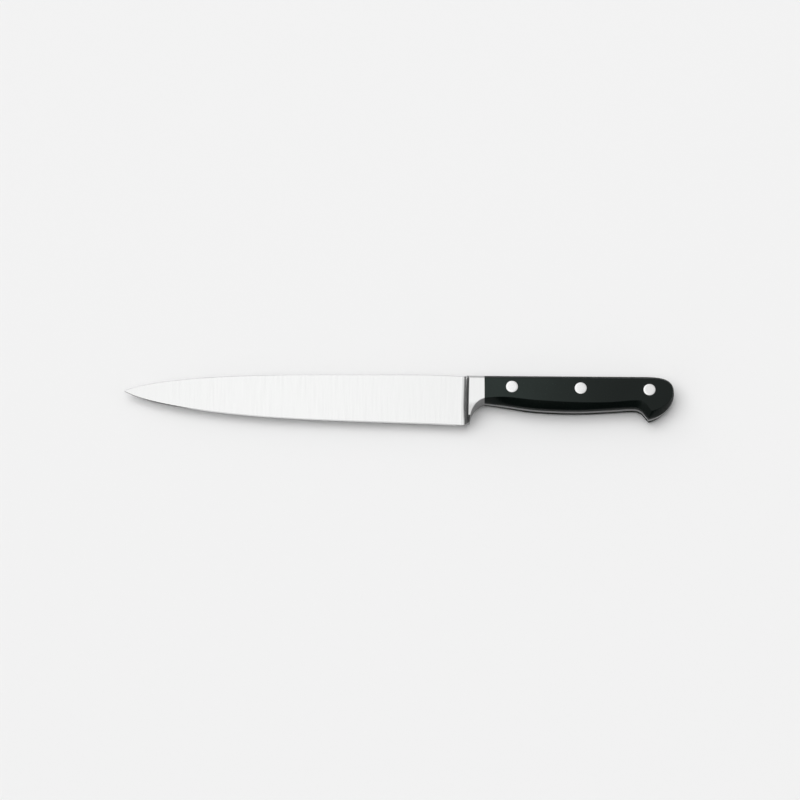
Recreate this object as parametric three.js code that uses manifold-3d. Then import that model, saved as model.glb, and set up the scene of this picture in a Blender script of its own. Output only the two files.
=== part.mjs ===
// A forged filleting knife with a full bolster, a full tang and two riveted scales.
// It is drawn in its own frame, in millimetres, and then set down on its right side on z = 0.
// x runs from the tip to the butt, and is 0 at the front of the bolster.
// y runs from the cutting edge up to the spine, and is 0 on the spine.
// z is 0 on the middle plane of the blade, and positive on the knife's left side.
import * as THREE from 'three';
import { mergeVertices } from 'three/addons/utils/BufferGeometryUtils.js';
import Module from 'manifold-3d';

const wasm = await Module();
wasm.setup();

// Blade
const BLADE_LENGTH = 201; // tip to the front of the bolster
const HEEL_DEPTH = 30.9; // spine down to the edge at the heel
const HEEL_LEAD = 3; // the edge ends this far ahead of the bolster's front
const HEEL_SLOPE = 0.052; // rise of the edge for each millimetre ahead of the heel
const SPINE_FALL = 103; // length over which the spine falls to the tip
const EDGE_SWEEP = 85; // length over which the edge sweeps up to the tip
const SWEEP_DEPTH = 25.8; // spine down to the edge where the sweep starts
const SWEEP_SLOPE = 0.07; // rise of the edge for each millimetre where the sweep starts
const TIP_DROP = 9.8; // tip below the spine
const SPINE_THICKNESS = 2.2; // at the bolster
const TIP_THICKNESS = 0.9; // just behind the point
const EDGE_THICKNESS = 0.5; // above the edge bevel, at the heel
const EDGE_BEVEL = 0.7; // height of the ground edge
const SPINE_EASE = 0.25; // broken corners of the spine

// Bolster, with the leg that comes down to the heel
const BOLSTER_LENGTH = 9;
const BOLSTER_SWEEP = 4.5; // length of the hollow that leads from the blade up to the bolster
const BOLSTER_RAKE = 0.8; // how far the front leans forward from spine to heel
const BOLSTER_ROUND = 0.6; // rounded front corner
const LEG_REACH = 0.4; // back of the leg, behind the bolster's front
const LEG_THICKNESS = 8.4; // at the heel
const LEG_CURVE = 3.8; // how soon the finger curve turns down from the handle
const HEEL_RISE = 1.6; // how far the foot of the leg rises to the back
const HEEL_FLAT = 1.2; // width of the foot at the edge
const HEEL_GRIND = THREE.MathUtils.degToRad(45); // lean of the ground facets on the leg

// Handle
const HANDLE_LENGTH = 110.5; // bolster to butt
const HANDLE_THICKNESS = 14.5;
const TANG_THICKNESS = 3;
const TANG_ROOT = 2; // how deep the tang starts inside the bolster
const HANDLE_DROP = 1.25; // top of the handle below the spine
const DROP_RUN = 31; // length of spine over which it comes down to the handle
const TOP_FALL = 0.7; // further fall of the top towards the butt
const TOP_CROWN = 2.4; // drop of the rounded top from the tang to the flat of the scale
const TOP_WALL = 2.8; // half height of the straight side, along the top and at the bolster
const PALM_WALL = 4.4; // half height of the straight side, along the palm
const PALM_START = 0.25; // share of the belly over which that height is reached
const HOOK_FADE = 0.4; // share of the curve behind the hook over which it ends
const CROWN_POWER = 1.25; // roundness of the section, from the straight side to the flat
const FRONT_DEPTH = 17.7; // spine down to the belly at the bolster
const FRONT_CROWN = 1.45; // rise of the belly from the tang to the flat, at the bolster
const BUTT_DEPTH = 11.5; // spine down to the rearmost point
const BUTT_CROWN = 0.8; // inset of the flat at the rearmost point
const HOOK_SETBACK = 15; // point of the hook, ahead of the butt
const HOOK_DEPTH = 27.7; // spine down to the point of the hook
const HOOK_CROWN = 3.8; // rise from the point of the hook to the flat
const HOOK_LEAN = 2; // how far back the flat's point is from the hook's
const TOP_CORNER = 16.5; // length of the rounded upper corner of the butt

// Belly of the handle at the first finger, the palm and the waist ahead of the hook.
// Each depth is measured below the spine, first to the tang's edge, then to the scale's flat.
const FINGER_BELLY = [{ back: 12, edge: 19.3, flat: 15.4 }, { back: 30, edge: 21.85, flat: 17.2 }];
const PALM_BELLY = [{ share: 0.4, edge: 22.8, flat: 18.5 }, { share: 0.75, edge: 22.05, flat: 18.65 }];
const WAIST_BELLY = [{ ahead: 24.5, edge: 21.25, flat: 17.5 }, { ahead: 19.6, edge: 22.4, flat: 17.5 },
  { ahead: 17, edge: 25.2, flat: 18.7 }];

// Rivets
const RIVET_HEAD = 7; // diameter
const RIVET_HEAD_DEPTH = 2;
const RIVET_SLEEVE = 5; // outer diameter of the hollow half
const RIVET_STUD = 3.2; // diameter of the solid half
const RIVET_FIT = 0.05; // play round each rivet part
const RIVET_END_GAP = 0.4; // free length past the ends of the stud and the sleeve
const FRONT_RIVET_SETBACK = 16; // behind the bolster
const FRONT_RIVET_DEPTH = 9.15; // below the spine
const REAR_RIVET_SETBACK = 14.4; // ahead of the butt
const REAR_RIVET_DEPTH = 11.05;

// Handles of the free curves, as shares of the stretch that each one shapes, along it and across it
const SPINE_HANDLE = 0.67; // where the spine starts to fall
const SPINE_TIP_HANDLE = [0.047, 0.36]; // where the spine meets the tip
const EDGE_HANDLE = 0.31; // where the edge starts to sweep up
const EDGE_TIP_HANDLE = [0.158, 0.55]; // where the edge meets the tip
const HOOK_HANDLE = [0.62, 0.13]; // behind the point of the hook
const BUTT_HANDLES = [0.44, 0.84]; // below and above the rearmost point
const CORNER_HANDLE = 0.66; // where the top meets the butt
const FINGER_HANDLES = [0.62, 0.08]; // up the back of the leg, and down from the handle
const LEG_FLARE = 1.3; // how the leg thickens from the heel to the handle

// Fineness of the curves
const BLADE_STEPS = 16;
const BELLY_STEPS = 40;
const BUTT_STEPS = 12;
const CROWN_STEPS = 10;
const SWEEP_STEPS = 8;
const CORNER_STEPS = 3;
const FINGER_STEPS = 14;
const LEG_STEPS = 6;
const ROUND_STEPS = 32;
const WELD = 1e-5; // vertices closer than this are one

// Values that follow from the sizes
const SIDE = HANDLE_THICKNESS / 2;
const TANG_SIDE = TANG_THICKNESS / 2;
const LEG_SIDE = LEG_THICKNESS / 2;
const OVERCUT = 1; // how far a cutter reaches past what it cuts
const BLADE_ROOT = BOLSTER_ROUND; // the blade runs this far into the bolster
const HEAD_SEAT = SIDE - RIVET_HEAD_DEPTH;

const steel = { color: 0xd4d5d4, roughness: 0.32, metalness: 1 };
const rivetSteel = { color: 0xdededc, roughness: 0.25, metalness: 1 };
const blackPlastic = { color: 0x222322, roughness: 0.42, metalness: 0 };

const lerp = THREE.MathUtils.lerp;
const clamp = THREE.MathUtils.clamp;
const smoothstep = THREE.MathUtils.smoothstep;
const spot = (x, y) => new THREE.Vector2(x, y);
const between = (from, to, [along, across]) => spot(lerp(from.x, to.x, along), lerp(from.y, to.y, across));
const steps = (count) => Array.from({ length: count + 1 }, (_, i) => i / count);

// Skin a stack of matching rings into a closed body. The end rings lie flat in the two named axes,
// and an apex closes the last ring in a point.
function loft(rings, axes, apex = null) {
  const count = rings[0].length;
  const points = rings.flat();
  const faces = [];
  for (let level = 0; level + 1 < rings.length; level += 1) {
    for (let i = 0; i < count; i += 1) {
      const a = level * count + i;
      const b = level * count + ((i + 1) % count);
      faces.push([a, b, b + count], [a, b + count, a + count]);
    }
  }
  const cap = (ring, first, sense) => {
    const outline = ring.map((point) => spot(point[axes[0]], point[axes[1]]));
    const turned = THREE.ShapeUtils.area(outline) * sense < 0;
    for (const face of THREE.ShapeUtils.triangulateShape(outline, [])) {
      const [a, b, c] = face.map((i) => first + i);
      faces.push(turned ? [a, c, b] : [a, b, c]);
    }
  };
  cap(rings[0], 0, -1);
  const last = points.length - count;
  if (apex) {
    points.push(apex);
    for (let i = 0; i < count; i += 1) {
      faces.push([last + i, last + ((i + 1) % count), points.length - 1]);
    }
  } else {
    cap(rings[rings.length - 1], last, 1);
  }
  const volume = faces.reduce((sum, [a, b, c]) => {
    const normal = points[b].clone().cross(points[c]);
    return sum + points[a].dot(normal);
  }, 0);
  const outward = volume > 0 ? faces : faces.map(([a, b, c]) => [a, c, b]);
  const geometry = new THREE.BufferGeometry().setFromPoints(points);
  geometry.setIndex(outward.flat());
  return geometry;
}

// Turn a closed geometry into a solid that can be joined and cut.
function solid(geometry) {
  const bare = geometry.clone();
  bare.deleteAttribute('normal');
  bare.deleteAttribute('uv');
  const welded = mergeVertices(bare, WELD);
  return new wasm.Manifold(new wasm.Mesh({
    numProp: 3,
    vertProperties: new Float32Array(welded.attributes.position.array),
    triVerts: new Uint32Array(welded.index.array),
  }));
}

function geometryOf(body) {
  const mesh = body.getMesh();
  const geometry = new THREE.BufferGeometry();
  geometry.setAttribute('position', new THREE.BufferAttribute(mesh.vertProperties, 3));
  geometry.setIndex(new THREE.BufferAttribute(mesh.triVerts, 1));
  geometry.computeVertexNormals();
  return geometry;
}

// A round cutter along z.
function drill(centre, diameter, from, to) {
  const geometry = new THREE.CylinderGeometry(diameter / 2, diameter / 2, to - from, ROUND_STEPS);
  geometry.rotateX(Math.PI / 2);
  geometry.translate(centre.x, centre.y, (from + to) / 2);
  return solid(geometry);
}

// Blade: each side is one flat, so the thickness falls evenly from spine to edge and from heel to tip.
const EDGE_TAPER = (SPINE_THICKNESS - EDGE_THICKNESS) / 2 / HEEL_DEPTH;
const TIP_TAPER = ((SPINE_THICKNESS - TIP_THICKNESS) / 2 - EDGE_TAPER * TIP_DROP) / BLADE_LENGTH;
const bladeSide = (point) => SPINE_THICKNESS / 2 + TIP_TAPER * point.x + EDGE_TAPER * point.y;

// Top of the knife from the spine down to the front of the handle.
const topLine = (x) => -HANDLE_DROP * smoothstep(x, -DROP_RUN, BOLSTER_LENGTH);

function bladeCurves() {
  const tip = spot(-BLADE_LENGTH, -TIP_DROP);
  const heel = spot(-HEEL_LEAD, -HEEL_DEPTH);
  const sweep = spot(EDGE_SWEEP - BLADE_LENGTH, -SWEEP_DEPTH);
  const fall = spot(SPINE_FALL - BLADE_LENGTH, 0);
  const third = (heel.x - sweep.x) / 3;
  const pull = EDGE_SWEEP * EDGE_HANDLE;
  const stations = steps(BLADE_STEPS).map((u) => lerp(BLADE_ROOT, fall.x, u));
  const spineBack = stations.map((x) => spot(x, topLine(x)));
  const edgeBack = new THREE.CubicBezierCurve(
    heel,
    spot(heel.x - third, heel.y + third * HEEL_SLOPE),
    spot(sweep.x + third, sweep.y - third * SWEEP_SLOPE),
    sweep,
  );
  const spineFront = new THREE.CubicBezierCurve(
    fall,
    spot(lerp(fall.x, tip.x, SPINE_HANDLE), 0),
    between(tip, fall, SPINE_TIP_HANDLE),
    tip,
  );
  const edgeFront = new THREE.CubicBezierCurve(
    sweep,
    spot(sweep.x - pull, sweep.y + pull * SWEEP_SLOPE),
    between(tip, sweep, EDGE_TIP_HANDLE),
    tip,
  );
  return {
    tip,
    spine: [...spineBack, ...spineFront.getPoints(BLADE_STEPS).slice(1, -1)],
    edge: [...edgeBack.getPoints(BLADE_STEPS), ...edgeFront.getPoints(BLADE_STEPS).slice(1, -1)],
  };
}

// One section of the blade, from the edge up the left side, over the spine and down the right side.
function bladeRing(spine, edge) {
  const height = spine.distanceTo(edge);
  const down = edge.clone().sub(spine).normalize();
  const ease = Math.min(SPINE_EASE, bladeSide(spine) / 2, height / 6);
  const corner = spine.clone().addScaledVector(down, ease);
  const shoulder = edge.clone().addScaledVector(down, -Math.min(EDGE_BEVEL, height / 3));
  const left = [
    [shoulder, bladeSide(shoulder)],
    [corner, bladeSide(corner)],
    [spine, bladeSide(spine) - ease],
  ];
  const right = left.map(([point, z]) => [point, -z]).reverse();
  return [[edge, 0], ...left, ...right].map(([point, z]) => new THREE.Vector3(point.x, point.y, z));
}

function bladeBody() {
  const { spine, edge, tip } = bladeCurves();
  const rings = spine.map((point, i) => bladeRing(point, edge[i]));
  return solid(loft(rings, ['y', 'z'], new THREE.Vector3(tip.x, tip.y, 0)));
}

// Handle outline, drawn from the bolster's back: the tang's edge and the border of the scale's flat.
// Both run along the belly to the hook, up round the butt and forward along the top.
function handleCurves(inset) {
  const pick = (knot) => -(inset ? knot.flat : knot.edge);
  const crown = (size) => (inset ? size : 0);
  const waist = HANDLE_LENGTH - WAIST_BELLY[0].ahead;
  const finger = FINGER_BELLY[FINGER_BELLY.length - 1].back;
  const hook = spot(HANDLE_LENGTH - HOOK_SETBACK + crown(HOOK_LEAN), -HOOK_DEPTH + crown(HOOK_CROWN));
  const belly = new THREE.SplineCurve([
    spot(0, -FRONT_DEPTH + crown(FRONT_CROWN)),
    ...FINGER_BELLY.map((knot) => spot(knot.back, pick(knot))),
    ...PALM_BELLY.map((knot) => spot(lerp(finger, waist, knot.share), pick(knot))),
    ...WAIST_BELLY.map((knot) => spot(HANDLE_LENGTH - knot.ahead, pick(knot))),
    hook,
  ]);
  const rear = spot(HANDLE_LENGTH - crown(BUTT_CROWN), -BUTT_DEPTH - crown(BUTT_CROWN));
  const corner = spot(HANDLE_LENGTH - TOP_CORNER, -HANDLE_DROP - TOP_FALL - crown(TOP_CROWN));
  const lower = new THREE.CubicBezierCurve(
    hook,
    between(hook, rear, HOOK_HANDLE),
    spot(rear.x, lerp(rear.y, hook.y, BUTT_HANDLES[0])),
    rear,
  );
  const upper = new THREE.CubicBezierCurve(
    rear,
    spot(rear.x, lerp(rear.y, corner.y, BUTT_HANDLES[1])),
    spot(lerp(corner.x, rear.x, CORNER_HANDLE), corner.y),
    corner,
  );
  return [
    ...belly.getPoints(BELLY_STEPS),
    ...lower.getPoints(BUTT_STEPS).slice(1),
    ...upper.getPoints(BUTT_STEPS).slice(1),
    spot(0, -HANDLE_DROP - crown(TOP_CROWN)),
  ];
}

const tangEdge = handleCurves(false);
const scaleFlat = handleCurves(true);

// Half height of the straight side at each point of the outline: tall along the palm, none at the butt.
const walls = [
  ...steps(BELLY_STEPS).map((u) => lerp(TOP_WALL, PALM_WALL, smoothstep(u, 0, PALM_START))),
  ...steps(BUTT_STEPS).slice(1).map((u) => lerp(PALM_WALL, TANG_SIDE, smoothstep(u, 0, HOOK_FADE))),
  ...steps(BUTT_STEPS).slice(1).map((u) => lerp(TANG_SIDE, TOP_WALL, u)),
  TOP_WALL,
];

// How far the section has rounded over from the straight side to the flat, from 0 to 1.
const crownAt = (z, wall) => Math.max(0, (Math.abs(z) - wall) / (SIDE - wall)) ** CROWN_POWER;
const crownLevels = steps(CROWN_STEPS).map((u) => lerp(TANG_SIDE, SIDE, u));

const rivetSpots = {
  front: spot(FRONT_RIVET_SETBACK, -FRONT_RIVET_DEPTH),
  middle: spot(
    (FRONT_RIVET_SETBACK + HANDLE_LENGTH - REAR_RIVET_SETBACK) / 2,
    -(FRONT_RIVET_DEPTH + REAR_RIVET_DEPTH) / 2,
  ),
  rear: spot(HANDLE_LENGTH - REAR_RIVET_SETBACK, -REAR_RIVET_DEPTH),
};

function tangBody() {
  const shape = new THREE.Shape(tangEdge);
  const plate = new THREE.ExtrudeGeometry(shape, { depth: TANG_THICKNESS, bevelEnabled: false });
  plate.translate(0, 0, -TANG_SIDE);
  const tongue = new THREE.BoxGeometry(2 * TANG_ROOT, FRONT_DEPTH / 2, TANG_THICKNESS);
  tongue.translate(0, -FRONT_DEPTH / 2, 0);
  let body = solid(plate).add(solid(tongue));
  for (const centre of Object.values(rivetSpots)) {
    body = body.subtract(drill(centre, RIVET_SLEEVE + 2 * RIVET_FIT, -SIDE, SIDE));
  }
  return body.translate([BOLSTER_LENGTH, 0, 0]);
}

// Bolster seen from above: a hollow sweeps up from the blade's side to the rounded front corner.
function bolsterPlan() {
  const levels = [OVERCUT, ...steps(LEG_STEPS).map((u) => lerp(-FRONT_DEPTH, -HEEL_DEPTH - OVERCUT, u))];
  const rings = levels.map((y) => {
    const depth = clamp(-y / HEEL_DEPTH, 0, 1);
    const leg = clamp((-y - FRONT_DEPTH) / (HEEL_DEPTH - FRONT_DEPTH), 0, 1);
    const side = lerp(SIDE, LEG_SIDE, leg ** LEG_FLARE);
    const front = -BOLSTER_RAKE * depth;
    const root = bladeSide(spot(front - BOLSTER_SWEEP, y));
    const rise = side - BOLSTER_ROUND - root;
    const hollow = steps(SWEEP_STEPS).map((u) => u * Math.PI / 2).map((angle) => [
      front - BOLSTER_SWEEP * (1 - Math.sin(angle)),
      root + rise * (1 - Math.cos(angle)),
    ]);
    const corner = steps(CORNER_STEPS).slice(1).map((u) => u * Math.PI / 2).map((angle) => [
      front + BOLSTER_ROUND * (1 - Math.cos(angle)),
      side - BOLSTER_ROUND * (1 - Math.sin(angle)),
    ]);
    const half = [...hollow, ...corner, [BOLSTER_LENGTH, side]];
    const mirrored = half.map(([x, z]) => [x, -z]).reverse();
    return [...half, ...mirrored].map(([x, z]) => new THREE.Vector3(x, y, z));
  });
  return solid(loft(rings, ['x', 'z']));
}

// Bolster seen from the side: it carries on the handle's rounded section, and the finger curve runs
// down the back of the leg to a foot that rises to the back.
function bolsterSide() {
  const ahead = -2 * BOLSTER_SWEEP - BOLSTER_RAKE;
  const foot = spot(LEG_REACH, HEEL_RISE - HEEL_DEPTH);
  const finger = (crown) => {
    const top = spot(BOLSTER_LENGTH, -FRONT_DEPTH + crown);
    return new THREE.CubicBezierCurve(
      foot,
      spot(foot.x, lerp(foot.y, top.y, FINGER_HANDLES[0])),
      spot(top.x - LEG_CURVE, lerp(top.y, foot.y, FINGER_HANDLES[1])),
      top,
    );
  };
  const edge = finger(0).getPoints(FINGER_STEPS);
  const flat = finger(FRONT_CROWN).getPoints(FINGER_STEPS);
  const tops = steps(FINGER_STEPS).map((u) => lerp(BOLSTER_LENGTH, ahead, u));
  const half = [...crownLevels, SIDE + OVERCUT];
  const levels = [...half.map((z) => -z).reverse(), ...half];
  const rings = levels.map((z) => {
    const crown = crownAt(z, TOP_WALL);
    const back = edge.map((point, i) => point.clone().lerp(flat[i], crown));
    const over = tops.map((x) => spot(x, topLine(x) - TOP_CROWN * crown));
    const outline = [spot(ahead, -HEEL_DEPTH), spot(-HEEL_LEAD, -HEEL_DEPTH), ...back, ...over];
    return outline.map((point) => new THREE.Vector3(point.x, point.y, z));
  });
  return solid(loft(rings, ['x', 'y']));
}

// The two facets that sharpening leaves on the leg, wide at the top and nearly meeting at the edge.
function heelWedge() {
  const half = SIDE + OVERCUT;
  const shoulder = (half - HEEL_FLAT / 2) / Math.tan(HEEL_GRIND) - HEEL_DEPTH;
  const left = [[-HEEL_DEPTH, HEEL_FLAT / 2], [shoulder, half], [OVERCUT, half]];
  const outline = [...left, ...left.map(([y, z]) => [y, -z]).reverse()];
  const reach = [-HEEL_DEPTH, HEEL_DEPTH];
  const rings = reach.map((x) => outline.map(([y, z]) => new THREE.Vector3(x, y, z)));
  return solid(loft(rings, ['y', 'z']));
}

function forgedBlade() {
  const bolster = bolsterPlan().intersect(bolsterSide()).intersect(heelWedge());
  return geometryOf(bladeBody().add(bolster).add(tangBody()));
}

// A scale: flat where it lies on the tang, rounded over to a flat side, with seats for the rivets.
// side is 1 for the left scale and -1 for the right one.
function scale(side) {
  const rings = crownLevels.map((z) => tangEdge.map((point, i) => {
    const rounded = point.clone().lerp(scaleFlat[i], crownAt(z, walls[i]));
    return new THREE.Vector3(rounded.x, rounded.y, side * z);
  }));
  let body = solid(loft(rings, ['x', 'y']));
  const seat = side * HEAD_SEAT;
  const past = side * (SIDE + OVERCUT);
  for (const centre of Object.values(rivetSpots)) {
    const bore = drill(centre, RIVET_SLEEVE + 2 * RIVET_FIT, -SIDE, SIDE);
    const sink = drill(centre, RIVET_HEAD + 2 * RIVET_FIT, Math.min(seat, past), Math.max(seat, past));
    body = body.subtract(bore).subtract(sink);
  }
  return geometryOf(body);
}

// Rivet halves, turned about their own axis with the handle's middle plane at height 0.
function rivetSleeve() {
  const bore = RIVET_STUD / 2 + RIVET_FIT;
  const profile = [
    [0, HEAD_SEAT],
    [bore, HEAD_SEAT],
    [bore, RIVET_END_GAP - HEAD_SEAT],
    [RIVET_SLEEVE / 2, RIVET_END_GAP - HEAD_SEAT],
    [RIVET_SLEEVE / 2, HEAD_SEAT],
    [RIVET_HEAD / 2, HEAD_SEAT],
    [RIVET_HEAD / 2, SIDE],
    [0, SIDE],
  ];
  return new THREE.LatheGeometry(profile.map(([r, h]) => spot(r, h)), ROUND_STEPS);
}

function rivetStud() {
  const profile = [
    [0, -SIDE],
    [RIVET_HEAD / 2, -SIDE],
    [RIVET_HEAD / 2, -HEAD_SEAT],
    [RIVET_STUD / 2, -HEAD_SEAT],
    [RIVET_STUD / 2, HEAD_SEAT - RIVET_END_GAP],
    [0, HEAD_SEAT - RIVET_END_GAP],
  ];
  return new THREE.LatheGeometry(profile.map(([r, h]) => spot(r, h)), ROUND_STEPS);
}

function piece(name, geometry, finish) {
  const mesh = new THREE.Mesh(geometry, new THREE.MeshStandardMaterial(finish));
  mesh.name = name;
  return mesh;
}

const handle = new THREE.Group();
handle.position.x = BOLSTER_LENGTH;
handle.add(piece('left_scale', scale(1), blackPlastic));
handle.add(piece('right_scale', scale(-1), blackPlastic));
for (const [place, centre] of Object.entries(rivetSpots)) {
  const rivet = new THREE.Group();
  rivet.position.set(centre.x, centre.y, 0);
  rivet.rotation.x = Math.PI / 2;
  rivet.add(piece(`${place}_rivet_sleeve`, rivetSleeve(), rivetSteel));
  rivet.add(piece(`${place}_rivet_stud`, rivetStud(), rivetSteel));
  handle.add(rivet);
}

// The origin is on the table, under the middle of the knife's length and depth.
const knife = new THREE.Group();
knife.position.set((BLADE_LENGTH - BOLSTER_LENGTH - HANDLE_LENGTH) / 2, HEEL_DEPTH / 2, SIDE);
knife.add(piece('forged_blade', forgedBlade(), steel));
knife.add(handle);

export default knife;
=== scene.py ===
"""Looks of a forged fillet knife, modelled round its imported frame.

The knife is drawn in its own frame, in millimetres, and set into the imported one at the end.
x runs from the tip to the butt, and is 0 at the front of the bolster.
y runs from the cutting edge up to the spine, and is 0 on the spine.
z is 0 on the middle plane of the blade, and positive on the knife's left side.
"""

import math

import bmesh
import bpy
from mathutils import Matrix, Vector


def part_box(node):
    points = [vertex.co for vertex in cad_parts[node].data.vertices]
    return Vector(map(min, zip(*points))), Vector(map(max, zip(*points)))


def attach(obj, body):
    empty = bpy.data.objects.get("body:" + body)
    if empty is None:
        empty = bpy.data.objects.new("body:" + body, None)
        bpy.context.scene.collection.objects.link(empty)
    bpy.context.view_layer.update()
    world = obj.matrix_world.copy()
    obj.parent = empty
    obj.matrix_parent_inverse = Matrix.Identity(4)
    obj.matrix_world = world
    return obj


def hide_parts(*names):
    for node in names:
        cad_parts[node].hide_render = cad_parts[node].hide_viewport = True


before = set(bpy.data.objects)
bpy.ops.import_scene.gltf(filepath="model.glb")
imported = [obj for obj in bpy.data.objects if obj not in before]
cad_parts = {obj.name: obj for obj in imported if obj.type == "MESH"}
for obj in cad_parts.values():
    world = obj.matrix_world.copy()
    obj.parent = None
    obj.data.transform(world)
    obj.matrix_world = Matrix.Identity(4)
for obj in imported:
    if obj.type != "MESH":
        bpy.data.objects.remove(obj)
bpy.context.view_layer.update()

bl_info = {
    "name": "Fillet Knife",
    "version": (1, 0, 0),
    "blender": (4, 5, 0),
    "location": "View3D > Sidebar > Knife",
    "description": "Models a forged fillet knife with riveted scales on its packed frame",
    "category": "Object",
}

MM = 0.001
WELD = 1e-6  # vertices closer than this are one, in metres
SLIVER = 1e-6  # least length that anything is divided by

# Sizes that the frame gives, in millimetres
LEFT_SCALE = [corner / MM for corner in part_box("left_scale")]
RIGHT_SCALE = [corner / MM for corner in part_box("right_scale")]
FORGING = [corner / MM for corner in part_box("forged_blade")]
BOLSTER_LENGTH = 9
HANDLE_LENGTH = LEFT_SCALE[1].x - LEFT_SCALE[0].x
BLADE_LENGTH = LEFT_SCALE[0].x - FORGING[0].x - BOLSTER_LENGTH
HEEL_DEPTH = FORGING[1].y - FORGING[0].y
SIDE = (LEFT_SCALE[1].z - RIGHT_SCALE[0].z) / 2  # half the thickness of the handle
TANG_SIDE = (LEFT_SCALE[0].z - RIGHT_SCALE[1].z) / 2  # half the thickness of the tang
KNIFE_ORIGIN = Vector((
    LEFT_SCALE[0].x - BOLSTER_LENGTH,
    FORGING[1].y,
    (LEFT_SCALE[1].z + RIGHT_SCALE[0].z) / 2,
))

# Blade
HEEL_LEAD = 3  # the edge ends this far ahead of the bolster's front
HEEL_SLOPE = 0.052  # rise of the edge for each millimetre ahead of the heel
SPINE_FALL = 103  # length over which the spine falls to the tip
EDGE_SWEEP = 85  # length over which the edge sweeps up to the tip
SWEEP_DEPTH = 25.8  # spine down to the edge where the sweep starts
SWEEP_SLOPE = 0.07  # rise of the edge for each millimetre where the sweep starts
TIP_DROP = 9.8  # tip below the spine
SPINE_THICKNESS = 2.2  # at the bolster
TIP_THICKNESS = 0.9  # just behind the point
EDGE_THICKNESS = 0.5  # above the ground edge, at the heel
EDGE_BEVEL = 0.7  # height of the ground edge
BEVEL_SHARE = 1 / 3  # most of the blade's depth that the ground edge takes, near the point

# Bolster, with the leg that comes down to the heel
BOLSTER_SWEEP = 4.5  # length of the hollow that leads from the blade up to the bolster
BOLSTER_RAKE = 0.8  # how far the front leans forward from spine to heel
BOLSTER_ROUND = 0.6  # rounded front corner
LEG_REACH = 0.4  # back of the leg, behind the bolster's front
LEG_SIDE = 4.2  # half the thickness of the leg at the heel
LEG_CURVE = 3.8  # how soon the finger curve turns down from the handle
LEG_FLARE = 1.3  # how the leg thickens from the heel to the handle
HEEL_RISE = 1.6  # how far the foot of the leg rises to the back
HEEL_FLAT = 1.2  # width of the foot at the edge
HEEL_GRIND = math.radians(45)  # lean of the ground facets on the leg
HEEL_BLEND = 0.25  # share of the hollow, next to the bolster, that has these facets in full
FOOT_TOP = LEG_REACH + 2 * BOLSTER_ROUND  # place on the spine above the back of the foot

# Handle
HANDLE_DROP = 1.25  # top of the handle below the spine
DROP_RUN = 31  # length of spine over which it comes down to the handle
TOP_FALL = 0.7  # further fall of the top towards the butt
TOP_CROWN = 2.4  # drop of the rounded top from the tang to the flat of the scale
TOP_WALL = 2.8  # half height of the straight side, along the top and at the bolster
PALM_WALL = 4.4  # half height of the straight side, along the palm
PALM_START = 0.25  # share of the belly over which that height is reached
HOOK_FADE = 0.4  # share of the curve behind the hook over which it ends
CROWN_POWER = 1.25  # roundness of the section, from the straight side to the flat
FRONT_DEPTH = 17.7  # spine down to the belly at the bolster
FRONT_CROWN = 1.45  # rise of the belly from the tang to the flat, at the bolster
BUTT_DEPTH = 11.5  # spine down to the rearmost point
BUTT_CROWN = 0.8  # inset of the flat at the rearmost point
HOOK_SETBACK = 15  # point of the hook, ahead of the butt
HOOK_DEPTH = 27.7  # spine down to the point of the hook
HOOK_CROWN = 3.8  # rise from the point of the hook to the flat
HOOK_LEAN = 2  # how far back the flat's point is from the hook's
TOP_CORNER = 16.5  # length of the rounded upper corner of the butt
TANG_EASE = 0.1  # rounding of the tang's corners, between the scales

# Belly of the handle: place, depth to the tang's edge and depth to the scale's flat. The place is
# counted back from the bolster, as a share of the palm, and forward from the butt.
FINGER_BELLY = [(12, 19.3, 15.4), (30, 21.85, 17.2)]
PALM_BELLY = [(0.4, 22.8, 18.5), (0.75, 22.05, 18.65)]
WAIST_BELLY = [(24.5, 21.25, 17.5), (19.6, 22.4, 17.5), (17, 25.2, 18.7)]

# Handles of the free curves, as shares of the stretch that each one shapes
SPINE_HANDLE = 0.67  # where the spine starts to fall
SPINE_TIP_HANDLE = (0.047, 0.36)  # where the spine meets the tip
EDGE_HANDLE = 0.31  # where the edge starts to sweep up
EDGE_TIP_HANDLE = (0.158, 0.55)  # where the edge meets the tip
HOOK_HANDLE = (0.62, 0.13)  # behind the point of the hook
BUTT_HANDLES = (0.44, 0.84)  # below and above the rearmost point
CORNER_HANDLE = 0.66  # where the top meets the butt
FINGER_HANDLES = (0.62, 0.08)  # up the back of the leg, and down from the handle

# Rivets
RIVETS = ("front", "middle", "rear")
SLEEVE_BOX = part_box("front_rivet_sleeve")
RIVET_HEAD = (SLEEVE_BOX[1].x - SLEEVE_BOX[0].x) / MM  # diameter
RIVET_HEAD_DEPTH = 2
RIVET_SLEEVE = 5  # outer diameter of the hollow half
RIVET_STUD = 3.2  # diameter of the solid half
RIVET_FIT = 0.05  # play round each rivet part
RIVET_BORE = RIVET_SLEEVE + 2 * RIVET_FIT  # hole through the tang and the scales
RIVET_END_GAP = 0.4  # free length past the ends of the stud and the sleeve
HEAD_SEAT = SIDE - RIVET_HEAD_DEPTH
DOME_RISES = (0.6, 0.3, 0.1)  # shares of a head's dome, ring by ring from the rim inwards
OVERCUT = 1  # how far a cutter reaches past what it cuts

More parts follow.
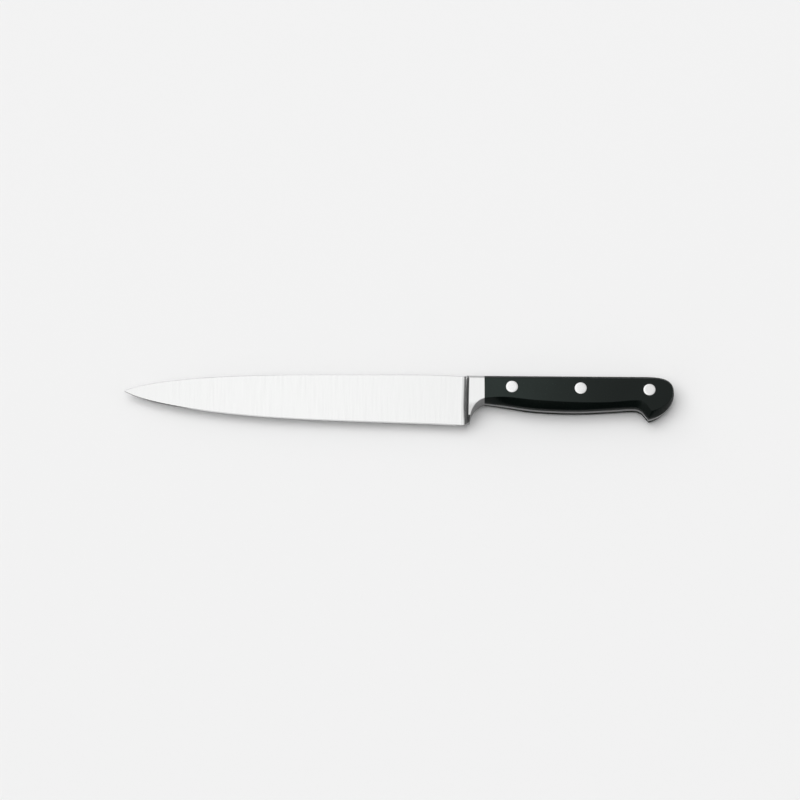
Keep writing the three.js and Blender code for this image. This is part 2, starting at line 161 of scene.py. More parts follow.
# Fineness of the surfaces
BUTT_STEPS = 32
BELLY_STEPS = 110
TOP_STEPS = 24
CROWN_STEPS = 22
CROWN_LEVELS = 8
FINGER_STEPS = 22
FOOT_STEPS = 3
CORNER_STEPS = 5
SWEEP_STEPS = 16
BLADE_STEPS = 44
TIP_CROWDING = 0.35  # how much closer the sections of the blade stand towards the point
ROUND_STEPS = 64
RIM_STEPS = 3
EASE_STEPS = 4
FACET_STEPS = 4
SIDE_STEPS = 16
EASE_DEPTH = 0.4  # most of a section's half thickness that a rounding takes
EASE_RUN = 1 / 8  # most of a section's depth that a rounding takes
SETTLING = 12  # passes in which the ends of a section settle
HALVINGS = 40  # halvings that find where a facet ends
LEVELS = [0, TANG_SIDE / 2, TANG_SIDE, TOP_WALL] + [
    TOP_WALL + (SIDE - TOP_WALL) * step / CROWN_LEVELS for step in range(1, CROWN_LEVELS + 1)
]

# Edges that turn by more than this stay sharp
FORGING_ANGLE = math.radians(24)
SCALE_ANGLE = math.radians(40)
RIVET_ANGLE = math.radians(35)

# Finishes: noise by its scale along each axis and its detail, tones as shares of the colour, walls
# by the height of the normal on a wall and on a flat, relief by its depth and its strength
NOISE_SPAN = (0.3, 0.7)  # where nearly all values of a noise texture lie
STEEL_LINES = ((800, 50, 18), 5)
STEEL_TONES = (0.95, 1.04)
# Painted shade: the steep steel walls (tang edges, finger curve, heel facets, deep hollow) take
# these far darker tones
STEEL_WALL_SHADE_TONES = (0.22, 0.29)
STEEL_SHADED_WALLS = (0.4, 0.7)
STEEL_ROUGHNESS = (0.18, 0.26)
STEEL_RELIEF = (0.003 * MM, 0.4)
PLASTIC_GRAIN = ((900, 900, 900), 4)
PLASTIC_CLOUD = ((60, 60, 60), 3)
MOULDED_TONES = (0.85, 1.2)
# The flats' sanded grey is partly painted sheen, greyest at the bolster
SANDED_AND_SHEEN_TONES = (0.9, 1.1)
SANDED_AND_SHEEN_WALLS = (0.92, 0.98)
PAINTED_SHEEN_RUN = 85  # length of the flats, from the bolster, over which the painted sheen fades
MOULDED_WALLS = (0.5, 0.75)
FLAT_ROUGHNESS = (0.2, 0.28)
WALL_ROUGHNESS = (0.6, 0.7)
PLASTIC_RELIEF = (0.01 * MM, 0.3)
PLASTIC_IOR = 1.28
PLASTIC_TINT = (0.9, 1, 0.96, 1)
RIVET_LINES = ((4000, 90, 90), 2)
RIVET_TONES = (0.97, 1.03)
RIVET_ROUGHNESS = (0.18, 0.26)
FLOOR_ROUGHNESS = 0.9
FLOOR_SPECULAR = 0.1

# Stage, in metres. The tent and the cards are given along the axes of the direction of view, each
# limit by where it starts to count and where it counts in full.
FLOOR_SIZE = 24
SOFTBOX_SIZE = (0.42, 0.9)
SOFTBOX_PLACE = (-0.09, 0.45, 1.3)
SOFTBOX_RADIANCE = 0.45
TOP_SOURCE = (-0.24, 0.06, 1)  # direction of the top lamp
TOP_LEVEL = 0.375  # its share of the light on the floor
TOP_ANGLE = math.radians(60)  # how wide it looks
TENT_LEVELS = (1.24, 0.74)  # brightness at the tip's end and at the butt's
TENT_SLANT = (-0.8, 0.5)
TENT_ENDS = ((-0.98, -0.6), (0.65, 0.35))
TENT_SIDES = ((-0.56, -0.42), (0.8, 0.6))
TENT_CORNER = (-0.95, -0.7)  # cut off in front of the tip, along the sum of both axes
ROOM_LEVEL = 0.46
CARD_LEVEL = 0.05
FRONT_CARD = ((-0.42, -0.56), (-0.45, -0.25), (0.5, 0.3))
LEFT_CARD = ((-0.6, -0.75), (-0.15, 0.05), (0.8, 0.6))
CAMERA_TARGET = Vector((0.51, 0.36, 7.25)) * MM
CAMERA_DISTANCE = 6
CAMERA_ELEVATION = math.radians(72)
VIEW_WIDTH = 466.5 * MM


class KnifeSizes(bpy.types.PropertyGroup):
    """Small sizes that a maker would set by feel."""

    spine_ease: bpy.props.FloatProperty(
        name="Spine Ease",
        description="Rounding of the corners of the spine and the bolster",
        default=0.25 * MM,
        unit="LENGTH",
    )
    crease_ease: bpy.props.FloatProperty(
        name="Crease Ease",
        description="Softening of the crease round the flat of each scale",
        default=0.3 * MM,
        unit="LENGTH",
    )
    front_chamfer: bpy.props.FloatProperty(
        name="Front Chamfer",
        description="Width of the broken edge of each scale at the bolster",
        default=0.25 * MM,
        unit="LENGTH",
    )
    rivet_rim: bpy.props.FloatProperty(
        name="Rivet Rim",
        description="Rounding of the rim of each rivet head",
        default=0.09 * MM,
        unit="LENGTH",
    )
    rivet_dome: bpy.props.FloatProperty(
        name="Rivet Dome",
        description="Rise of each rivet head from its rim to its middle",
        default=0.04 * MM,
        unit="LENGTH",
    )


class KnifeFinish(bpy.types.PropertyGroup):
    """Colours of the knife and of the stage."""

    steel: bpy.props.FloatVectorProperty(
        name="Blade Steel",
        description="Colour of the ground steel of the blade and the bolster",
        subtype="COLOR",
        default=(0.7, 0.703, 0.7),
        min=0,
        max=1,
    )
    plastic: bpy.props.FloatVectorProperty(
        name="Scale Black",
        description="Colour of the moulded black scales",
        subtype="COLOR",
        default=(0.0016, 0.003, 0.0025),
        min=0,
        max=1,
    )
    # Partly painted sheen: the flats' sanded grey is raised to stand in for part of their
    # reflection
    sanded_and_sheen: bpy.props.FloatVectorProperty(
        name="Sanded Black",
        description="Colour of the flats of the scales, sanded flush with the rivets",
        subtype="COLOR",
        default=(0.011, 0.0165, 0.0145),
        min=0,
        max=1,
    )
    rivet: bpy.props.FloatVectorProperty(
        name="Rivet Steel",
        description="Colour of the polished rivet heads",
        subtype="COLOR",
        default=(0.74, 0.74, 0.735),
        min=0,
        max=1,
    )
    floor: bpy.props.FloatVectorProperty(
        name="Floor",
        description="Colour of the floor that the knife lies on",
        subtype="COLOR",
        default=(0.865, 0.865, 0.865),
        min=0,
        max=1,
    )


# Curves
def mix(start, end, share):
    return start + (end - start) * share


def limit(value, low, high):
    return max(low, min(high, value))


def smooth(value, start, end):
    """From 0 to 1 between two values, with soft ends."""
    share = limit((value - start) / (end - start), 0, 1)
    return share * share * (3 - 2 * share)


def shares(count):
    """Equal steps from 0 to 1."""
    return [step / count for step in range(count + 1)]


def quarter_turn(count):
    """Equal steps from a right angle down to 0."""
    return [u * math.pi / 2 for u in reversed(shares(count))]


def spot(x, y):
    """A point of the knife, seen from the side."""
    return Vector((x, y))


def between(start, end, pull):
    """A point on the way from one to the other, by its share of it along x and along y."""
    return spot(mix(start.x, end.x, pull[0]), mix(start.y, end.y, pull[1]))


def bezier(points, t):
    """Point on the curve with these handles."""
    line = points
    while len(line) > 1:
        line = [mix(a, b, t) for a, b in zip(line, line[1:])]
    return line[0]


def spline(knots, t):
    """Point on the smooth curve through these knots, at equal steps from knot to knot."""
    place = t * (len(knots) - 1)
    i = min(int(place), len(knots) - 2)
    u = place - i
    before = knots[max(i - 1, 0)]
    start = knots[i]
    end = knots[i + 1]
    after = knots[min(i + 2, len(knots) - 1)]
    leave = (end - before) / 2
    arrive = (after - start) / 2
    bend = (start - end) * 2 + leave + arrive
    turn = (end - start) * 3 - leave * 2 - arrive
    return ((bend * u + turn) * u + leave) * u + start


def in_frame(point, z):
    """A point of the knife, given from the side and by its height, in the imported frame."""
    return (Vector((point.x, point.y, z)) + KNIFE_ORIGIN) * MM


# Blade outline and thickness
TIP = spot(-BLADE_LENGTH, -TIP_DROP)
HEEL = spot(-HEEL_LEAD, -HEEL_DEPTH)
SWEEP = spot(EDGE_SWEEP - BLADE_LENGTH, -SWEEP_DEPTH)
FALL = spot(SPINE_FALL - BLADE_LENGTH, 0)
THIRD = (HEEL.x - SWEEP.x) / 3
PULL = EDGE_SWEEP * EDGE_HANDLE
EDGE_BACK = [
    HEEL,
    spot(HEEL.x - THIRD, HEEL.y + THIRD * HEEL_SLOPE),
    spot(SWEEP.x + THIRD, SWEEP.y - THIRD * SWEEP_SLOPE),
    SWEEP,
]
EDGE_FRONT = [
    SWEEP,
    spot(SWEEP.x - PULL, SWEEP.y + PULL * SWEEP_SLOPE),
    between(TIP, SWEEP, EDGE_TIP_HANDLE),
    TIP,
]
SPINE_FRONT = [
    FALL,
    spot(mix(FALL.x, TIP.x, SPINE_HANDLE), 0),
    between(TIP, FALL, SPINE_TIP_HANDLE),
    TIP,
]
EDGE_TAPER = (SPINE_THICKNESS - EDGE_THICKNESS) / 2 / HEEL_DEPTH
TIP_TAPER = ((SPINE_THICKNESS - TIP_THICKNESS) / 2 - EDGE_TAPER * TIP_DROP) / BLADE_LENGTH


def blade_side(point):
    """Half thickness of the blade, which thins towards the tip and the edge."""
    return SPINE_THICKNESS / 2 + TIP_TAPER * point.x + EDGE_TAPER * point.y


def top_line(x):
    """The spine, which comes down to the top of the handle."""
    return -HANDLE_DROP * smooth(x, -DROP_RUN, BOLSTER_LENGTH)


def under_line(x):
    """The edge of the blade, and behind the heel the foot of the leg."""
    if x > HEEL.x:
        return HEEL.y + HEEL_RISE * (x - HEEL.x) / (LEG_REACH - HEEL.x)
    return bezier(EDGE_BACK, (HEEL.x - x) / (HEEL.x - SWEEP.x)).y


def crown_at(z, wall):
    """How far the rounding has come at a height: 0 on the straight wall and 1 at the flat."""
    return max(0, (z - wall) / (SIDE - wall)) ** CROWN_POWER


# Bolster
def bolster_front(y):
    return -BOLSTER_RAKE * limit(-y / HEEL_DEPTH, 0, 1)


def bolster_side(point):
    """Half thickness of the blade, the hollow, the rounded corner and the bolster behind it."""
    leg = limit((-point.y - FRONT_DEPTH) / (HEEL_DEPTH - FRONT_DEPTH), 0, 1)
    side = mix(SIDE, LEG_SIDE, leg ** LEG_FLARE)
    front = bolster_front(point.y)
    behind = point.x - front
    if behind <= -BOLSTER_SWEEP:
        return blade_side(point)
    if behind < 0:
        root = blade_side(spot(front - BOLSTER_SWEEP, point.y))
        share = 1 + behind / BOLSTER_SWEEP
        return root + (side - BOLSTER_ROUND - root) * (1 - math.sqrt(max(0, 1 - share ** 2)))
    share = limit(1 - behind / BOLSTER_ROUND, 0, 1)
    return side - BOLSTER_ROUND * (1 - math.sqrt(1 - share ** 2))


def heel_facet(point):
    """Half thickness that the ground facets of the heel leave."""
    return HEEL_FLAT / 2 + (point.y + HEEL_DEPTH) * math.tan(HEEL_GRIND)


def finger_curve(t, crown):
    """Back of the leg, from its foot up to the handle; crown is 0 at the tang and 1 at the flat."""
    foot = spot(LEG_REACH, HEEL_RISE - HEEL_DEPTH)
    top = spot(BOLSTER_LENGTH, -FRONT_DEPTH + FRONT_CROWN * crown)
    return bezier([
        foot,
        spot(foot.x, mix(foot.y, top.y, FINGER_HANDLES[0])),
        spot(top.x - LEG_CURVE, mix(top.y, foot.y, FINGER_HANDLES[1])),
        top,
    ], t)


# Handle outline, from the belly at the bolster round the butt and forward along the top
def handle_outline(inset):
    """The tang's edge, or with inset the border of the scale's flat, in four runs."""
    pick = 2 if inset else 1
    crown = 1 if inset else 0
    waist = HANDLE_LENGTH - WAIST_BELLY[0][0]
    finger = FINGER_BELLY[-1][0]
    hook = spot(HANDLE_LENGTH - HOOK_SETBACK + crown * HOOK_LEAN, -HOOK_DEPTH + crown * HOOK_CROWN)
    rear = spot(HANDLE_LENGTH - crown * BUTT_CROWN, -BUTT_DEPTH - crown * BUTT_CROWN)
    corner = spot(HANDLE_LENGTH - TOP_CORNER, -HANDLE_DROP - TOP_FALL - crown * TOP_CROWN)
    front = spot(0, -HANDLE_DROP - crown * TOP_CROWN)
    knots = [
        spot(0, -FRONT_DEPTH + crown * FRONT_CROWN),
        *[spot(knot[0], -knot[pick]) for knot in FINGER_BELLY],
        *[spot(mix(finger, waist, knot[0]), -knot[pick]) for knot in PALM_BELLY],
        *[spot(HANDLE_LENGTH - knot[0], -knot[pick]) for knot in WAIST_BELLY],
        hook,
    ]
    lower = [
        hook,
        between(hook, rear, HOOK_HANDLE),
        spot(rear.x, mix(rear.y, hook.y, BUTT_HANDLES[0])),
        rear,
    ]
    upper = [
        rear,
        spot(rear.x, mix(rear.y, corner.y, BUTT_HANDLES[1])),
        spot(mix(corner.x, rear.x, CORNER_HANDLE), corner.y),
        corner,
    ]
    back = spot(BOLSTER_LENGTH, 0)
    return {
        "belly": [spline(knots, u) + back for u in shares(BELLY_STEPS)],
        "lower": [bezier(lower, u) + back for u in shares(BUTT_STEPS)],
        "upper": [bezier(upper, u) + back for u in shares(BUTT_STEPS)],
        "top": [mix(corner, front, u) + back for u in shares(TOP_STEPS)],
    }


def whole_outline(outline):
    return outline["belly"] + outline["lower"][1:] + outline["upper"][1:] + outline["top"][1:]


def outline_walls():
    """Half height of the straight side at each point of the outline."""
    belly = [mix(TOP_WALL, PALM_WALL, smooth(u, 0, PALM_START)) for u in shares(BELLY_STEPS)]
    lower = [mix(PALM_WALL, TANG_SIDE, smooth(u, 0, HOOK_FADE)) for u in shares(BUTT_STEPS)]
    upper = [mix(TANG_SIDE, TOP_WALL, u) for u in shares(BUTT_STEPS)]
    top = [TOP_WALL] * (TOP_STEPS + 1)
    return belly + lower[1:] + upper[1:] + top[1:]


def rivet_spot(name):
    low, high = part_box(f"{name}_rivet_sleeve")
    centre = (low + high) / 2 / MM - KNIFE_ORIGIN
    return spot(centre.x, centre.y)


# Modelling by hand
def deselect():
    bpy.ops.object.select_all(action="DESELECT")


def choose(piece):
    """Select this piece alone and make it active."""
    deselect()
    piece.select_set(True)
    bpy.context.view_layer.objects.active = piece


def discard(piece):
    mesh = piece.data
    bpy.data.objects.remove(piece)
    bpy.data.meshes.remove(mesh)


def own_copy(piece, name):
    """A copy of a piece, with its own mesh."""
    choose(piece)
    bpy.ops.object.duplicate(linked=False)
    copy = bpy.context.object
    copy.name = name
    copy.data.name = name
    return copy


def set_ring(piece, points):
    """Move the selected ring of vertices to these points."""
    mesh = bmesh.from_edit_mesh(piece.data)
    place = mesh.verts.layers.int["place"]
    for vert in mesh.verts:
        if vert.select:
            vert.co = points[vert[place]]
    bmesh.update_edit_mesh(piece.data)


def start_ring(name, points):
    """A circle, shaped to the first ring of a body, with its vertices numbered."""
    deselect()
    bpy.ops.mesh.primitive_circle_add(vertices=len(points), radius=SIDE * MM)
    piece = bpy.context.object
    piece.name = name
    piece.data.name = name
    bpy.ops.object.mode_set(mode="EDIT")
    mesh = bmesh.from_edit_mesh(piece.data)
    place = mesh.verts.layers.int.new("place")
    for i, vert in enumerate(mesh.verts):
        vert[place] = i
    set_ring(piece, points)
    return piece


def next_ring(piece, points):
    bpy.ops.mesh.extrude_edges_move()
    set_ring(piece, points)


def draw_out(height):
    """Extrude the selected faces straight up, or down where the height is negative."""
    bpy.ops.mesh.extrude_region_move(TRANSFORM_OT_translate={"value": (0, 0, height)})


def close_body(piece):
    """Merge what meets, turn the faces out and leave edit mode."""
    bpy.ops.mesh.select_all(action="SELECT")
    bpy.ops.mesh.remove_doubles(threshold=WELD)
    bpy.ops.mesh.normals_make_consistent(inside=False)
    mesh = bmesh.from_edit_mesh(piece.data)
    open_edges = [edge for edge in mesh.edges if not edge.is_manifold]
    if open_edges:
        raise RuntimeError(f"{piece.name} has {len(open_edges)} open edges")
    bpy.ops.object.mode_set(mode="OBJECT")


def apply_modifiers(piece):
    bpy.context.view_layer.objects.active = piece
    for modifier in list(piece.modifiers):
        bpy.ops.object.modifier_apply(modifier=modifier.name)


def cut_rounds(piece, spots, diameter, low, high):
    """Cut round holes through a piece, between two heights."""
    cutters = []
    for centre in spots:
        deselect()
        bpy.ops.mesh.primitive_cylinder_add(
            vertices=ROUND_STEPS,
            radius=diameter / 2 * MM,
            depth=(high - low) * MM,
            location=in_frame(centre, (low + high) / 2),
        )
        cutters.append(bpy.context.object)
    for cutter in cutters:
        cutter.select_set(True)
    bpy.context.view_layer.objects.active = cutters[0]
    bpy.ops.object.join()
    cutter = bpy.context.object
    cut = piece.modifiers.new("Cut", "BOOLEAN")
    cut.operation = "DIFFERENCE"
    cut.solver = "EXACT"
    cut.object = cutter
    choose(piece)
    apply_modifiers(piece)
    discard(cutter)


def smooth_shading(piece, angle):
    """Shade smooth, with every edge that turns by more than the angle kept sharp."""
    choose(piece)
    bpy.ops.object.shade_smooth_by_angle(angle=angle)
    weighted = piece.modifiers.new("Weighted Normals", "WEIGHTED_NORMAL")
    weighted.keep_sharp = True
    apply_modifiers(piece)


def finish_piece(piece, material, slot, *nodes):
    """Give a piece its material, let it ride on the root, and hide the frame's parts that it stands
    for.
    """
    piece.data.materials.clear()
    piece.data.materials.append(material)
    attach(piece, "root")
    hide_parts(*nodes)


# Forging: one ring after the other, from the butt to the tip
def half_section(low, high, half, facet, ease):
    """Left half of a cross-section, from the middle of the edge to the middle of the spine.

    low and high give the ends of the section by height, half its thickness at a point of the
    side, and facet the thickness that the grind at the edge leaves there.
    """
    def side_at(point):
        return min(half(point), facet(point))

    foot = SIDE / 2
    crest = SIDE / 2
    for _ in range(SETTLING):
        foot = side_at(low(foot))
        crest = side_at(high(crest))
    start = low(foot)
    end = high(crest)
    run = end - start
    length = max(run.length, SLIVER)
    low_ease = min(ease, foot * EASE_DEPTH, length * EASE_RUN)
    high_ease = min(ease, crest * EASE_DEPTH, length * EASE_RUN)
    first = low_ease / length
    last = 1 - high_ease / length

    crease = first
    if half(start) > facet(start):
        far = last
        for _ in range(HALVINGS):
            middle = (crease + far) / 2
            point = start + run * middle
            if half(point) > facet(point):
                crease = middle
            else:
                far = middle

    def on_side(share):
        point = start + run * share
        return Vector((point.x, point.y, side_at(point)))

    def on_end(line, z):
        point = line(z)
        return Vector((point.x, point.y, z))

    def rounded(a, corner, b):
        return [bezier([a, corner, b], t) for t in shares(EASE_STEPS)[1:]]

    points = [on_end(low, min(z, foot - low_ease)) for z in LEVELS]
    points += rounded(points[-1], on_end(low, foot), on_side(first))
    points += [on_side(mix(first, crease, u)) for u in shares(FACET_STEPS)[1:]]
    points += [on_side(mix(crease, last, u)) for u in shares(SIDE_STEPS)[1:]]
    points += rounded(points[-1], on_end(high, crest), on_end(high, crest - high_ease))
    points += [on_end(high, min(z, crest - high_ease)) for z in reversed(LEVELS)]
    return points


def ring_of(section):
    """The whole ring of a cross-section, its left half and the mirror image of that."""
    left = [in_frame(point, point.z) for point in section]
    right = [in_frame(point, -point.z) for point in section[1:-1]]
    return left + right[::-1]


def fixed(point):
    """An end of a section that stays at one point at every height."""
    return lambda z: point


def over_top(x):
    """The upper end of a section through the bolster, which is crowned like the handle."""
    return lambda z: spot(x, top_line(x) - TOP_CROWN * crown_at(z, TOP_WALL))


def tang_half(point):
    return TANG_SIDE


def no_facet(point):
    return SIDE


def edge_facet(edge, shoulder):
    """The ground edge: it rises from nothing at the edge to the blade's side at the shoulder."""
    height = (shoulder - edge).length
    rise = blade_side(shoulder) / max(height, SLIVER)
    return lambda point: (point - edge).length * rise


def tang_rings():
    """The tang, from the rearmost point to the back of the bolster, where its corners are sharp."""
    edge = handle_outline(False)
    lows = edge["lower"][::-1] + edge["belly"][::-1][1:]
    belly_tops = [spline(edge["top"], u) for u in shares(BELLY_STEPS)]
    highs = edge["upper"] + belly_tops[1:]
    eases = [TANG_EASE] * (len(lows) - 1) + [0]
    return [
        ring_of(half_section(fixed(low), fixed(high), tang_half, no_facet, ease))
        for low, high, ease in zip(lows, highs, eases)
    ]


def bolster_rings(ease):
    """The bolster and its leg, from the handle forward to the rounded front corner."""
    ends = []
    for t in reversed(shares(FINGER_STEPS)):
        share = (finger_curve(t, 0).x - LEG_REACH) / (BOLSTER_LENGTH - LEG_REACH)
        ends.append((
            lambda z, t=t: finger_curve(t, crown_at(z, TOP_WALL)),
            over_top(mix(FOOT_TOP, BOLSTER_LENGTH, share)),
        ))
    foot_end = bolster_front(-HEEL_DEPTH) + BOLSTER_ROUND
    for share in shares(FOOT_STEPS)[1:-1]:
        x = mix(LEG_REACH, foot_end, share)
        ends.append((
            fixed(spot(x, under_line(x))),
            over_top(mix(FOOT_TOP, BOLSTER_ROUND, share)),
        ))
    return [ring_of(half_section(*pair, bolster_side, heel_facet, ease)) for pair in ends]


def hollow_rings(ease):
    """The rounded corner and the hollow in front of it, down to the blade."""
    corner = [BOLSTER_ROUND * (1 - math.cos(turn)) for turn in quarter_turn(CORNER_STEPS)]
    hollow = [-BOLSTER_SWEEP * (1 - math.sin(turn)) for turn in quarter_turn(SWEEP_STEPS)]
    rings = []
    for behind in corner + hollow[1:]:
        foot_x = bolster_front(-HEEL_DEPTH) + behind
        foot = spot(foot_x, under_line(foot_x))
        top_x = bolster_front(top_line(behind)) + behind
        spine_y = top_line(top_x)

        def high(z, behind=behind, spine_y=spine_y):
            y = spine_y - TOP_CROWN * crown_at(z, TOP_WALL)
            return spot(bolster_front(y) + behind, y)

        up = (high(0) - foot).normalized()
        ground = edge_facet(foot, foot + up * EDGE_BEVEL)
        share = smooth(behind, -BOLSTER_SWEEP, -BOLSTER_SWEEP * HEEL_BLEND)
        section = half_section(
            fixed(foot),
            high,
            bolster_side,
            lambda point, ground=ground, share=share: mix(ground(point), heel_facet(point), share),
            ease,
        )
        rings.append(ring_of(section))
    return rings


def blade_rings(ease):
    """The blade, from the hollow to just behind the point, and the point."""
    foot_x = bolster_front(-HEEL_DEPTH) - BOLSTER_SWEEP
    top_x = bolster_front(0) - BOLSTER_SWEEP
    pairs = []
    for u in shares(BLADE_STEPS)[1:]:
        edge_x = mix(foot_x, SWEEP.x, u)
        spine_x = mix(top_x, FALL.x, u)
        pairs.append((spot(edge_x, under_line(edge_x)), spot(spine_x, top_line(spine_x))))
    for u in shares(BLADE_STEPS)[1:-1]:
        t = u * (1 + TIP_CROWDING * (1 - u))
        pairs.append((bezier(EDGE_FRONT, t), bezier(SPINE_FRONT, t)))
    rings = []
    for edge, spine in pairs:
        run = spine - edge
        shoulder = edge + run.normalized() * min(EDGE_BEVEL, run.length * BEVEL_SHARE)
        facet = edge_facet(edge, shoulder)
        rings.append(ring_of(half_section(fixed(edge), fixed(spine), blade_side, facet, ease)))
    rings.append([in_frame(TIP, 0)] * len(rings[0]))
    return rings


class KNIFE_OT_forged_blade(bpy.types.Operator):
    """Model the blade, bolster, heel and tang as the one forging that they are"""

    bl_idname = "mesh.knife_forged_blade"
    bl_label = "Forged Blade"
    bl_options = {"REGISTER", "UNDO"}

    def execute(self, context):
        ease = context.scene.knife_sizes.spine_ease / MM
        rings = tang_rings() + bolster_rings(ease) + hollow_rings(ease) + blade_rings(ease)
        piece = start_ring("blade_forging", rings[0])
        for ring in rings[1:]:
            next_ring(piece, ring)
        close_body(piece)
        cut_rounds(piece, [rivet_spot(name) for name in RIVETS], RIVET_BORE, -SIDE, SIDE)
        smooth_shading(piece, FORGING_ANGLE)
        finish_piece(piece, satin_steel(), "blade_steel", "forged_blade")
        return {"FINISHED"}


# Scales: one ring above the other, from the tang to the flat
def scale_column(edge, border, wall, ease):
    """One line up a scale's side: how far inside the tang's edge and how high each point is."""
    run = (border - edge).length
    slope = CROWN_POWER * run / (SIDE - wall)
    top = SIDE - ease / math.hypot(1, slope)
    heights = [mix(TANG_SIDE, top, u) for u in shares(CROWN_STEPS)]
    rise = [spot(run * crown_at(z, wall), z) for z in heights]
    turn = [rise[-1], spot(run, SIDE), spot(run + ease, SIDE)]
    return rise + [bezier(turn, u) for u in shares(EASE_STEPS)[1:]]


def scale_rings(ease, chamfer):
    """Rings of the left scale, with the border of the flat rounded and its front edge broken."""
    edges = whole_outline(handle_outline(False))
    borders = whole_outline(handle_outline(True))
    columns = []
    for edge, border, wall in zip(edges, borders, outline_walls()):
        inward = (border - edge).normalized()
        column = scale_column(edge, border, wall, ease)
        columns.append([(edge + inward * place.x, place.y) for place in column])
    for column in (columns[0], columns[-1]):
        for k, (point, z) in enumerate(column):
            column[k] = (point + spot(max(0, chamfer - (SIDE - z)), 0), z)
    return [[in_frame(point, z) for point, z in level] for level in zip(*columns)]


def mirror_copy(piece, name):
    """A copy, turned over to the other side of the blade."""
    copy = own_copy(piece, name)
    copy.parent = None
    bpy.ops.object.mode_set(mode="EDIT")
    bpy.ops.mesh.select_all(action="SELECT")
    middle = Vector((0, 0, KNIFE_ORIGIN.z * MM))
    bpy.ops.transform.resize(value=(1, 1, -1), center_override=middle)
    bpy.ops.mesh.flip_normals()
    bpy.ops.object.mode_set(mode="OBJECT")
    smooth_shading(copy, SCALE_ANGLE)
    return copy


class KNIFE_OT_scales(bpy.types.Operator):
    """Model the left scale, crowned and bored for its rivets, and mirror it for the right side"""

    bl_idname = "mesh.knife_scales"
    bl_label = "Handle Scales"
    bl_options = {"REGISTER", "UNDO"}

    def execute(self, context):
        sizes = context.scene.knife_sizes
        rings = scale_rings(sizes.crease_ease / MM, sizes.front_chamfer / MM)
        piece = start_ring("left_handle_scale", rings[0])
        bpy.ops.mesh.edge_face_add()
        for ring in rings[1:]:
            next_ring(piece, ring)
        bpy.ops.mesh.edge_face_add()
        close_body(piece)
        spots = [rivet_spot(name) for name in RIVETS]
        cut_rounds(piece, spots, RIVET_BORE, -SIDE, SIDE)
        cut_rounds(piece, spots, RIVET_HEAD + 2 * RIVET_FIT, HEAD_SEAT, SIDE + OVERCUT)
        smooth_shading(piece, SCALE_ANGLE)
        material = black_plastic()
        finish_piece(piece, material, "handle_black", "left_scale")
        mirrored = mirror_copy(piece, "right_handle_scale")
        finish_piece(mirrored, material, "handle_black", "right_scale")
        return {"FINISHED"}


# Rivets: modelled once, and copied to their places
def select_faces(piece, height):
    """Select the faces that lie flat at this height, and only those."""
    mesh = bmesh.from_edit_mesh(piece.data)
    for face in mesh.faces:
        face.select_set(all(abs(vert.co.z - height) < WELD for vert in face.verts))
    mesh.select_flush_mode()
    bmesh.update_edit_mesh(piece.data)


def rivet_half(kind, sizes):
    """One half of a rivet about the axis x = y = 0, its head up and the middle plane at z = 0."""
    head = RIVET_HEAD / 2 * MM
    shank = (RIVET_SLEEVE if kind == "sleeve" else RIVET_STUD) / 2 * MM
    seat = HEAD_SEAT * MM
    end = (RIVET_END_GAP - HEAD_SEAT) * MM
    rim_height = SIDE * MM - sizes.rivet_dome
    deselect()
    bpy.ops.mesh.primitive_circle_add(
        vertices=ROUND_STEPS,
        radius=head,
        fill_type="NGON",
        location=(0, 0, rim_height),
    )
    piece = bpy.context.object
    piece.name = f"rivet_{kind}_model"
    bpy.ops.object.transform_apply(location=True, rotation=True, scale=True)
    bpy.ops.object.mode_set(mode="EDIT")
    bpy.ops.mesh.select_mode(type="FACE")
    bpy.ops.mesh.select_all(action="SELECT")
    draw_out(seat - rim_height)
    bpy.ops.mesh.inset(thickness=head - shank)
    draw_out(end - seat)
    if kind == "sleeve":
        bore = (RIVET_STUD / 2 + RIVET_FIT) * MM
        bpy.ops.mesh.inset(thickness=shank - bore)
        draw_out(seat - end)
    bpy.ops.mesh.select_all(action="SELECT")
    bpy.ops.mesh.normals_make_consistent(inside=False)
    select_faces(piece, rim_height)
    bpy.ops.mesh.bevel(offset=sizes.rivet_rim, segments=RIM_STEPS, affect="EDGES")
    select_faces(piece, rim_height)
    for share in DOME_RISES:
        bpy.ops.mesh.inset(thickness=head / (len(DOME_RISES) + 1), depth=0)
        bpy.ops.transform.translate(value=(0, 0, sizes.rivet_dome * share))
    close_body(piece)
    smooth_shading(piece, RIVET_ANGLE)
    return piece


def placed_copy(model, name, centre):
    """A copy at one rivet's place; studs point the other way."""
    copy = own_copy(model, name)
    if "stud" in name:
        copy.rotation_euler = (math.pi, 0, 0)
    copy.location = in_frame(centre, 0)
    bpy.ops.object.transform_apply(location=True, rotation=True, scale=True)
    return copy


class KNIFE_OT_rivets(bpy.types.Operator):
    """Model one rivet's sleeve and one stud, and copy them to the three places"""

    bl_idname = "mesh.knife_rivets"
    bl_label = "Rivets"
    bl_options = {"REGISTER", "UNDO"}

    def execute(self, context):
        sizes = context.scene.knife_sizes
        material = polished_rivet()
        models = {kind: rivet_half(kind, sizes) for kind in ("sleeve", "stud")}
        for name in RIVETS:
            for kind, model in models.items():
                piece = placed_copy(model, f"{name}_rivet_{kind}_steel", rivet_spot(name))
                finish_piece(piece, material, "rivet_steel", f"{name}_rivet_{kind}")
        for model in models.values():
            discard(model)
        return {"FINISHED"}


# Nodes of the finishes and of the light
def streaks(tree, scale, detail):
    """Noise on Object coordinates, drawn out by its scale along each axis."""
    nodes = tree.nodes
    place = nodes.new("ShaderNodeTexCoord")
    mapping = nodes.new("ShaderNodeMapping")
    mapping.inputs["Scale"].default_value = scale
    noise = nodes.new("ShaderNodeTexNoise")
    noise.inputs["Scale"].default_value = 1
    noise.inputs["Detail"].default_value = detail
    tree.links.new(place.outputs["Object"], mapping.inputs["Vector"])
    tree.links.new(mapping.outputs["Vector"], noise.inputs["Vector"])
    return noise.outputs["Fac"]


